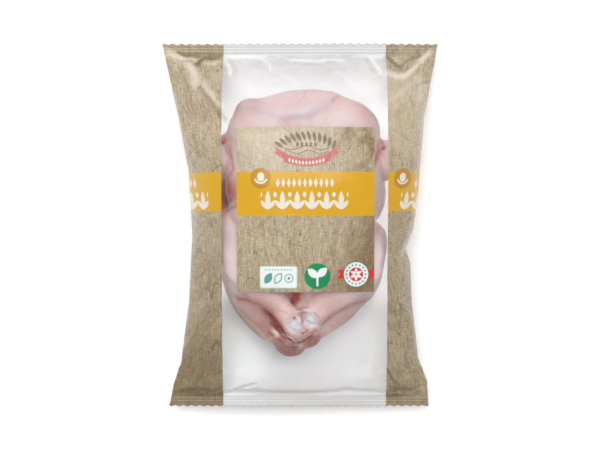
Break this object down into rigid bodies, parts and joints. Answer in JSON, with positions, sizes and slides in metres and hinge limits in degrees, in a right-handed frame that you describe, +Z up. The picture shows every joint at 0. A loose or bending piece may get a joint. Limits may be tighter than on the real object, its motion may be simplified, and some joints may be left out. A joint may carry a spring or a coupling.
{
  "type": "whole raw chicken in a sealed bag",
  "caption": "Whole raw chicken, breast up with crossed drumsticks, in a sealed pillow bag with a clear window, printed sides, a label panel and crimped zigzag ends.",
  "frame": {"origin": "on the resting surface, below the middle of the bag's outline", "axes": "+Z up out of the window side, +Y along the bag towards the chicken's neck end, +X to the right seen from above"},
  "size_m": [0.2484, 0.333, 0.1021],
  "materials": {
    "printed_film": "satin plastic film with a woven jute print and a golden band",
    "clear_film": "clear glossy plastic film, a little milky",
    "chicken_skin": "moist raw skin, pale pink",
    "joint_cartilage": "wet bluish white cartilage"
  },
  "bodies": {
    "root": {"filled_bag": "printed_film"}
  },
  "joints": []
}
